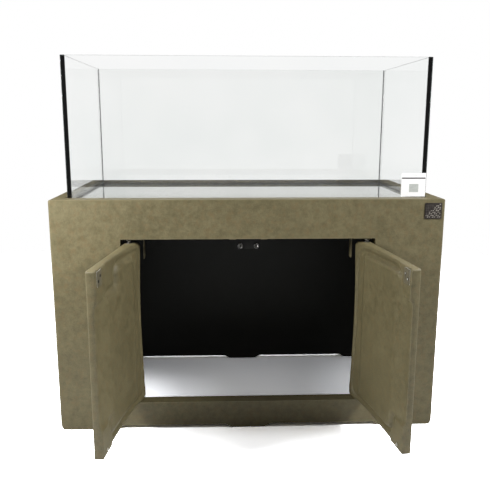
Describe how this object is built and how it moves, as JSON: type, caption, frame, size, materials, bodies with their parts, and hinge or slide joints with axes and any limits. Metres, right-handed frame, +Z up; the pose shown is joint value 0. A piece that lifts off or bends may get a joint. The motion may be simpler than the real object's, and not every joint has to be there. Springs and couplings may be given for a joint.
{
  "type": "aquarium on stand",
  "caption": "Rimless rectangular glass aquarium seated in the top recess of a moulded khaki cabinet with pivoting front doors on magnetic catches.",
  "frame": {"origin": "on the floor, at the middle of the whole object's box with both doors open as modelled", "axes": "+X to the right along the cabinet's front and its longest side, +Y from the doors towards the back, +Z up"},
  "size_m": [1.32, 1.0727, 1.278],
  "materials": {
    "moulded_khaki": "rotationally moulded polyethylene, satin with fine mottling",
    "painted_khaki": "powder coat in the cabinet colour",
    "tank_glass": "clear float glass with polished edges",
    "black_silicone": "cured silicone, slight sheen",
    "pale_foam": "closed-cell foam sheet",
    "nylon": "moulded nylon",
    "bright_steel": "zinc-plated steel",
    "dark_steel": "blackened steel",
    "clear_rubber": "translucent bumper",
    "badge_metal": "dark brushed plate",
    "label_film": "white printed film"
  },
  "bodies": {
    "cabinet": {"cabinet_shell": "moulded_khaki", "front_pane": "tank_glass", "back_pane": "tank_glass", "left_pane": "tank_glass", "right_pane": "tank_glass", "bottom_pane": "tank_glass", "front_left_seam": "black_silicone", "front_right_seam": "black_silicone", "back_left_seam": "black_silicone", "back_right_seam": "black_silicone", "front_floor_seam": "black_silicone", "back_floor_seam": "black_silicone", "left_floor_seam": "black_silicone", "right_floor_seam": "black_silicone", "foam_mat": "pale_foam", "left_upper_pin": "bright_steel", "left_lower_pin": "bright_steel", "left_thrust_washer": "nylon", "left_hinge_bracket": "painted_khaki", "left_bracket_screw_1": "dark_steel", "left_bracket_screw_2": "dark_steel", "left_magnet": "bright_steel", "left_magnet_screw": "dark_steel", "right_upper_pin": "bright_steel", "right_lower_pin": "bright_steel", "right_thrust_washer": "nylon", "right_hinge_bracket": "painted_khaki", "right_bracket_screw_1": "dark_steel", "right_bracket_screw_2": "dark_steel", "right_magnet": "bright_steel", "right_magnet_screw": "dark_steel", "catch_block": "moulded_khaki", "catch_plate": "dark_steel", "badge_plate": "badge_metal", "glass_label": "label_film"},
    "left_door_body": {"left_door": "moulded_khaki", "left_upper_bush": "nylon", "left_lower_bush": "nylon", "left_strike_plate": "bright_steel", "left_strike_screw_1": "dark_steel", "left_strike_screw_2": "dark_steel", "left_bumper": "clear_rubber"},
    "right_door_body": {"right_door": "moulded_khaki", "right_upper_bush": "nylon", "right_lower_bush": "nylon", "right_strike_plate": "bright_steel", "right_strike_screw_1": "dark_steel", "right_strike_screw_2": "dark_steel", "right_bumper": "clear_rubber"}
  },
  "joints": [
    {"name": "left_door_hinge", "type": "hinge", "parent": "cabinet", "child": "left_door_body", "pos_m": [-0.402, -0.1385, 0.385], "axis": [0, 0, 1], "range_deg": [-20, 97]},
    {"name": "right_door_hinge", "type": "hinge", "parent": "cabinet", "child": "right_door_body", "pos_m": [0.402, -0.1385, 0.385], "axis": [0, 0, -1], "range_deg": [-20, 97]}
  ]
}
